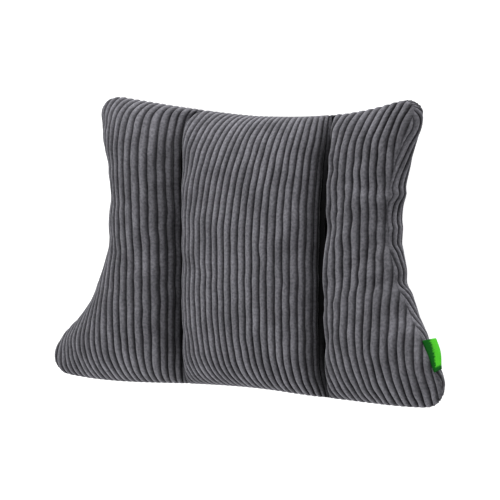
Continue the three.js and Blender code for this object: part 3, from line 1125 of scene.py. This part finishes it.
@dataclass
class Pillow:
    """The filled corduroy cover, one closed piece."""

    cover: Cover = field(default_factory=Cover)
    cords: Cords = field(default_factory=Cords)
    finish: Corduroy = field(default_factory=Corduroy)
    filling: FillingPress = field(default_factory=FillingPress)
    row_count: int = 98
    snap: float = 0.12  # a line that ends closer than this to the seam joins it, in wales
    seam_sink: float = 0.0015  # the seam lies this deep in the cloth
    groove_lift: float = 0.0008  # grooves stay this far off the surface that the pillow lies on
    fill: float = 0.8
    right_wall_shade_squeeze: float = 3.0  # the painted shade reaches this much less far on a fold's right wall than on its left one
    painted_dim_share: float = 0.56  # share of the painted shade that spreads slowly down the walls
    painted_black_edge: float = 0.3  # wales over which the painted shade turns the walls black
    painted_side_shade: float = 0.12  # painted shade on the side sections, which turn away from the light
    side_edge: float = 2.0  # wales over which they turn

    CLOTH_MAP = "cloth"
    # name of the mesh attribute that holds the painted shade
    PAINTED_FOLD_SHADE = "fold"

    def build(self) -> bpy.types.Object:
        """Front and back grids of wale lines that share the side seams and the two edges.

        Returns:
            The pillow's object.
        """
        rows = self.cover.rows(self.row_count)
        front = self.cover.front(rows)
        front = self.filling.apply(self.cover, rows, front)
        back = self.cover.back(rows, front.rims)
        lines = self.wale_lines(front, back)
        seams = self.cover.placed(*front.at(np.hstack(front.ends())), rows.up).reshape(-1, 3)
        front_panel = self.panel(Face.FRONT, front, rows, lines)
        back_panel = self.panel(Face.BACK, back, rows, lines, front_panel)
        return linked("pillow_cover", self.joined(seams, [front_panel, back_panel]))

    def wale_lines(self, front: Sections, back: Sections) -> Array:
        """Wale counts of all mesh lines, wide enough for both faces.

        Args:
            front: sections of the front.
            back: sections of the back.

        Returns:
            The counts, as one row.
        """
        low = math.floor(min(front.wale.min(), back.wale.min())) - 1
        high = math.ceil(max(front.wale.max(), back.wale.max())) + 1
        return (np.arange(low, high)[:, None] + np.array(self.cords.steps)).reshape(1, -1)

    def panel(self, face: Face, sections: Sections, rows: Rows, lines: Array,
              joins: Panel | None = None) -> Panel:
        """One panel's grid, where a line that runs past a side seam stays on the seam's points.

        The seams' points come first, two for each row, and then those of the panels.

        Args:
            face: front or back.
            sections: the face's sections.
            rows: the rows.
            lines: wale counts of the mesh lines.
            joins: the panel that this one shares its two edges with, if it is there.

        Returns:
            The panel.
        """
        first, last = sections.ends()
        wale = lines + self.cords.wander(lines, rows.run, sections.off_folds(lines))
        inside = (wale > first + self.snap) & (wale < last - self.snap)
        taken = 2 * self.row_count
        left_seam = np.arange(self.row_count)[:, None] * 2
        ids = np.where(wale > 0, left_seam + 1, left_seam)
        if joins is not None:
            inside[[0, -1]] = False
            ids[[0, -1]] = joins.ids[[0, -1]]
            taken += len(joins.points)
        ids[inside] = taken + np.arange(inside.sum())
        points = self.cover.placed(*sections.at(np.clip(wale, first, last)), rows.up)
        # painted shade of the folds and the sides, on the front only
        fold = self.fold(sections.off_folds(wale), rows) * (face is Face.FRONT)
        cloth_map = np.broadcast_arrays(np.clip(lines, first, last), rows.run / self.cords.pitch)
        return Panel(
            ids=ids,
            points=points[inside],
            relief=self.relief(lines, wale, sections, rows, face)[inside],
            fold=fold[inside],
            cloth_map=np.stack(cloth_map, axis=-1),
            flip=face is Face.BACK,
        )

    def joined(self, seams: Array, panels: list[Panel]) -> bpy.types.Mesh:
        """One mesh of the panels: first their quads, then the triangles beside the seams.

        Args:
            seams: points of the side seams.
            panels: the panels.

        Returns:
            The mesh, with its cords raised.
        """
        places = np.vstack([seams, *(panel.points for panel in panels)])
        relief = np.concatenate([np.full(len(seams), -self.seam_sink), *(panel.relief for panel in panels)])
        fold = np.concatenate([np.zeros(len(seams)), *(panel.fold for panel in panels)])
        grids = [grid_faces(panel.ids, panel.flip) for panel in panels]
        faces, corners = [], []
        for kind in zip(*grids):
            for panel, grid in zip(panels, kind):
                faces.extend(panel.ids.ravel()[grid].tolist())
                corners.append(panel.cloth_map.reshape(-1, 2)[grid].ravel())
        mesh = bpy.data.meshes.new("pillow_cover")
        mesh.from_pydata(places.tolist(), [], faces)
        self.raise_cords(mesh, places, relief)
        # the painted shade goes to the material as a point attribute
        attribute = mesh.attributes.new(self.PAINTED_FOLD_SHADE, "FLOAT", "POINT")
        attribute.data.foreach_set("value", fold.astype(np.float32))
        layer = mesh.uv_layers.new(name=self.CLOTH_MAP)
        layer.data.foreach_set("uv", np.concatenate(corners).astype(np.float32))
        mesh.shade_smooth()
        return mesh

    def relief(self, lines: Array, wale: Array, sections: Sections, rows: Rows, face: Face) -> Array:
        """Height of the cloth over its mean surface: the cords, pressed down beside seams and in folds.

        Beside a seam the cloth also sinks, by the square of its nearness.

        Args:
            lines: wale counts that set the place across a cord.
            wale: wale counts where the lines run.
            sections: the face's sections.
            rows: the rows.
            face: front or back.

        Returns:
            Heights in metres.
        """
        cord = self.cords.height * (self.cords.profile(lines) - self.cords.level)
        first, last = sections.ends()
        off_folds = sections.off_folds(wale)
        fold_fade, corner_fade = self.cords.hidden_fade, self.cords.corner_fade_back
        if face is Face.FRONT:
            fold_fade, corner_fade = self.cords.crease_fade, self.cords.corner_fade
        from_seam = np.minimum(wale - first, last - wale) / self.cords.seam_fade
        from_fold = np.minimum(*np.abs(off_folds)) / fold_fade
        from_bottom = rows.run / self.cords.bottom_fade
        from_top = (rows.run.max() - rows.run) / corner_fade + 1 - smooth(off_folds[1] / self.side_edge)
        held = np.minimum(np.minimum(from_seam, from_fold), np.minimum(from_bottom, from_top))
        return cord * np.clip(held, 0, 1) - self.seam_sink * np.clip(1 - from_seam, 0, 1) ** 2

    def fold(self, off_folds: list[Array], rows: Rows) -> Array:
        """Painted shade: more and more down the walls of the folds, and some on the sides.

        At the two edges the painted shade fades out with the square of the sewn lines' level.

        Args:
            off_folds: distances in wales from the left and the right fold.
            rows: the rows.

        Returns:
            Shares of painted shade, from 0 with none to 1 inside the folds.
        """
        depth = np.zeros(off_folds[0].shape)
        for valley, off in zip((self.cover.left_valley, self.cover.right_valley), off_folds):
            away = np.where(off < 0, -off, off * self.right_wall_shade_squeeze)
            painted_dim = smooth((valley.painted_dim - away) / (valley.painted_dim - valley.painted_black))
            painted_black = smooth((valley.painted_black - away) / self.painted_black_edge + 1)
            painted_wall_shade = self.painted_dim_share * painted_dim + (1 - self.painted_dim_share) * painted_black
            depth = np.maximum(depth, painted_wall_shade * (1 - rows.late) ** valley.painted_shade_fade)
        # painted shade on the side sections beside the folds
        sides = smooth(-off_folds[0] / self.side_edge) + smooth(off_folds[1] / self.side_edge)
        return np.maximum(depth, self.painted_side_shade * sides) * rows.level**2

    def raise_cords(self, mesh: bpy.types.Mesh, places: Array, relief: Array) -> None:
        """Moves each point along the cloth's normal by its relief, and presses the back flat.

        Crests may lie on the surface under the pillow. A point stays off it in step with its drop below its
        crest, which counts up to twice the crest's height over the mean surface of the cloth.

        Args:
            mesh: the smooth cover.
            places: its points.
            relief: their heights.
        """
        normals = np.empty(places.size)
        mesh.vertices.foreach_get("normal", normals)
        moved = places + normals.reshape(-1, 3) * relief[:, None]
        crest = 1 - self.cords.level
        drop = np.clip(crest - relief / self.cords.height, 0, 2 * crest)
        moved[:, 2] = np.maximum(moved[:, 2], self.groove_lift * drop)
        mesh.vertices.foreach_set("co", moved.astype(np.float32).ravel())
        mesh.update()

    def dress(self, piece: bpy.types.Object) -> None:
        """Gives the cover its finish, hangs it on the rigid body, and hides the imported part that it
        stands for.

        Args:
            piece: the pillow's object.
        """
        piece.data.materials.append(self.finish.material())
        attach(piece, BODY)
        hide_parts("pillow")


@dataclass
class Label:
    """The ribbon that is folded once and sewn into the right side seam, bare."""

    cover: Cover = field(default_factory=Cover)
    finish: WovenRibbon = field(default_factory=WovenRibbon)
    up: float = 0.053  # its middle, above the bottom edge
    along: float = 0.033
    out: float = 0.0142
    puff: float = 0.0022  # half the space between its plies
    thickness: float = 0.0005
    tilt_low: float = math.radians(29)  # its lower end leans forwards
    tilt_high: float = math.radians(-36)  # and its upper end backwards
    droop: float = 0.0026  # its upper end hangs down this far at the fold
    tuck: float = 0.0015  # its ends lie this deep in the seam
    across_steps: int = 26
    fold_steps: int = 48
    length_steps: int = 400

    RIBBON_MAP = "ribbon"

    def build(self) -> bpy.types.Object:
        """A sheet over a grid of places across the ribbon and turns along it, with its thickness.

        Returns:
            The label's object.
        """
        places = np.linspace(0, 1, self.across_steps)
        turns = np.linspace(-1, 1, self.fold_steps)
        across, turn = np.meshgrid(places, turns, indexing="ij")
        quads, _ = grid_faces(np.arange(across.size).reshape(across.shape), flip=False)
        mesh = bpy.data.meshes.new("side_label")
        mesh.from_pydata(self.loop(across, turn).reshape(-1, 3).tolist(), [], quads.tolist())
        layer = mesh.uv_layers.new(name=self.RIBBON_MAP)
        ribbon_map = np.stack([across, (turn + 1) / 2], axis=-1).reshape(-1, 2)
        layer.data.foreach_set("uv", ribbon_map[quads].astype(np.float32).ravel())
        mesh.shade_smooth()
        piece = linked("side_label", mesh)
        wall = piece.modifiers.new("thickness", "SOLIDIFY")
        wall.thickness = self.thickness
        wall.offset = 0
        return piece

    def loop(self, across: Array, turn: Array) -> Array:
        """A drop-shaped loop, carried along the seam and twisted on its way.

        The loop runs out by 1 - turn ^ 2, and its plies part by a sine of the turn.

        Args:
            across: share of the way along the seam.
            turn: -1 at one end of the ribbon, 0 at its fold and 1 at the other end.

        Returns:
            Points of the ribbon.
        """
        root = self.cover.right_seam(self.up + (across - 0.5) * self.along)
        ends = self.cover.right_seam(self.up + np.array([-0.5, 0.5]) * self.along)
        seamward = (ends[1] - ends[0]) / np.linalg.norm(ends[1] - ends[0])
        faceward = np.array([0.0, 0.0, 1.0])
        out = np.cross(seamward, faceward)
        out = out / np.linalg.norm(out)
        tilt = (self.tilt_low + (self.tilt_high - self.tilt_low) * across)[..., None]
        lean = out * np.cos(tilt) + faceward * np.sin(tilt)
        side = np.cross(seamward, lean)
        reach = (self.out * (1 - turn**2) - self.tuck)[..., None]
        part = (self.puff * np.sin(math.pi * turn))[..., None]
        hang = (self.droop * across * (1 - turn**2))[..., None]
        return root + reach * lean + part * side - hang * seamward

    def dress(self, piece: bpy.types.Object) -> None:
        """Gives the label its finish, hangs it on the rigid body, and hides the imported part that it
        stands for.

        Args:
            piece: the label's object.
        """
        piece.data.materials.append(self.finish.material())
        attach(piece, BODY)
        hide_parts("label")


@dataclass(frozen=True)
class Lamp:
    """A square soft light, placed by the image's own directions."""

    name: str
    side: float  # towards the image's right
    lift: float  # towards the image's top
    near: float  # towards the camera
    distance: float
    size: float
    power: float


@dataclass
class Studio:
    """Floor, lights and camera."""

    finish: PalePaper = field(default_factory=PalePaper)
    target: Triple = (-0.00609, -0.00476, 0.038)
    turn: float = math.radians(33.26)  # of the camera round the pillow's upright middle line
    rise: float = math.radians(2.99)
    roll: float = math.radians(1.376)
    distance: float = 2.797
    lens: float = 187.3
    sensor: float = 36.0
    floor_size: float = 8.0
    world_light: float = 0.15
    world_colour: Colour = (1.0, 1.0, 1.0, 1.0)
    lamps: tuple[Lamp, ...] = (
        Lamp("key", side=-0.87, lift=0.10, near=0.50, distance=1.8, size=1.1, power=16.5),
        Lamp("top", side=0.05, lift=0.95, near=0.29, distance=2.0, size=1.3, power=55.0),
        Lamp("low", side=-0.50, lift=-0.82, near=0.12, distance=2.0, size=1.3, power=27.0),
    )

    def axes(self) -> tuple[Vector, Vector, Vector]:
        """The image's right and up directions and the direction to the camera, with the camera's roll.

        Returns:
            The three directions.
        """
        level = math.cos(self.rise)
        back = Vector((math.sin(self.turn) * level, math.sin(self.rise), math.cos(self.turn) * level))
        right = Vector((0, 1, 0)).cross(back).normalized()
        up = back.cross(right)
        rolled_right = right * math.cos(self.roll) + up * math.sin(self.roll)
        return rolled_right, back.cross(rolled_right), back

    def build(self) -> None:
        """Makes the floor, the lamps, the world's light and the camera."""
        self.build_floor()
        for lamp in self.lamps:
            self.build_lamp(lamp)
        self.build_world()
        self.build_camera()

    def build_floor(self) -> None:
        """A large level sheet under the pillow."""
        half = self.floor_size / 2
        corners = [(-half, -half, 0), (half, -half, 0), (half, half, 0), (-half, half, 0)]
        mesh = bpy.data.meshes.new("floor")
        mesh.from_pydata(corners, [], [(0, 1, 2, 3)])
        mesh.materials.append(self.finish.material())
        linked("floor", mesh)

    def build_lamp(self, lamp: Lamp) -> None:
        """Places one lamp, turned towards the pillow.

        Args:
            lamp: the lamp.
        """
        right, up, back = self.axes()
        direction = (right * lamp.side + up * lamp.lift + back * lamp.near).normalized()
        data = bpy.data.lights.new(lamp.name, "AREA")
        data.energy = lamp.power
        data.size = lamp.size
        light = linked(lamp.name, data)
        light.location = Vector(self.target) + direction * lamp.distance
        light.rotation_mode = "QUATERNION"
        light.rotation_quaternion = direction.to_track_quat("Z", "Y")

    def build_world(self) -> None:
        """Even white light from all round."""
        world = bpy.data.worlds.new("studio")
        world.use_nodes = True
        background = world.node_tree.nodes["Background"]
        background.inputs["Color"].default_value = self.world_colour
        background.inputs["Strength"].default_value = self.world_light
        bpy.context.scene.world = world

    def build_camera(self) -> None:
        """The camera, at the distance and angle from which the pillow is seen."""
        right, up, back = self.axes()
        data = bpy.data.cameras.new("camera")
        data.lens = self.lens
        data.sensor_width = self.sensor
        camera = linked("camera", data)
        place = Vector(self.target) + back * self.distance
        camera.matrix_world = Matrix.Translation(place) @ Matrix((right, up, back)).transposed().to_4x4()
        bpy.context.scene.camera = camera
        bpy.context.scene.view_settings.view_transform = "Standard"


def smooth(share: Array) -> Array:
    """A smooth step from 0 to 1: three times the square less twice the cube."""
    share = np.clip(share, 0, 1)
    return share**2 * (3 - 2 * share)


def bell(off: Array) -> Array:
    """A bell curve: e to the power of minus the distance squared."""
    return np.exp(-(off**2))


def hump(share: Array) -> Array:
    """A parabola that is 0 at both ends and 1 half way: four times the share times the rest."""
    return 4 * share * (1 - share)


def superellipse(along: Array, power: float) -> Array:
    """Height of a superellipse: (1 - distance ^ power) ^ (1 / power)."""
    return np.clip(1 - np.abs(along) ** power, 0, 1) ** (1 / power)


def rise(along: Array, start: float, power: float) -> Array:
    """A value that stays 0 up to a start and grows to 1 at the edge by a power."""
    return np.clip((along - start) / (1 - start), 0, 1) ** power


def rounded(width: float, radius: float, from_edge: Array) -> Array:
    """Half width less what a round corner takes: its radius times 1 - the root of 1 - depth ^ 2."""
    depth = np.clip(1 - from_edge / radius, 0, 1)
    return width - radius * (1 - np.sqrt(1 - depth**2))


def smooth_smaller(first: Array, second: Array, blend: Array) -> Array:
    """The smaller of two values, less a quarter of the blend times the square of their nearness."""
    near = np.maximum(blend - np.abs(first - second), 0) / blend
    return np.minimum(first, second) - near**2 * blend / 4


def lengths(x: Array, z: Array) -> Array:
    """Running lengths along each row of points."""
    steps = np.hypot(np.diff(x, axis=1), np.diff(z, axis=1))
    return np.hstack([np.zeros((len(x), 1)), np.cumsum(steps, axis=1)])


def linked(name: str, data: bpy.types.ID) -> bpy.types.Object:
    """A new object in the scene.

    Args:
        name: the object's name.
        data: its mesh, light or camera.

    Returns:
        The object.
    """
    piece = bpy.data.objects.new(name, data)
    bpy.context.scene.collection.objects.link(piece)
    return piece


def grid_faces(ids: Array, flip: bool) -> tuple[Array, Array]:
    """Faces between neighbouring rows and lines of a grid, where some neighbours are the same point.

    Args:
        ids: point number at each place of the grid.
        flip: whether the faces look the other way.

    Returns:
        Places in the grid of the quads' corners and of the triangles' corners.
    """
    places = np.arange(ids.size).reshape(ids.shape)
    corners = np.stack([places[:-1, :-1], places[:-1, 1:], places[1:, 1:], places[1:, :-1]], axis=-1)
    corners = corners.reshape(-1, 4)
    if flip:
        corners = corners[:, ::-1]
    points = ids.ravel()[corners]
    same = points == np.roll(points, -1, axis=1)
    doubles = same.sum(axis=1)
    triangles = corners[doubles == 1][~same[doubles == 1]].reshape(-1, 3)
    return corners[doubles == 0], triangles


def main() -> None:
    """Builds and dresses the pillow and the label, which hides the imported parts they stand for, and
    builds the studio.
    """
    logging.basicConfig(level=logging.INFO, format="%(message)s")
    for part in (Pillow(), Label()):
        piece = part.build()
        part.dress(piece)
        LOG.info("%s: %d points, %d faces", piece.name, len(piece.data.vertices), len(piece.data.polygons))
    Studio().build()
    LOG.info("studio: floor, lights and camera")


if __name__ == "__main__":
    main()
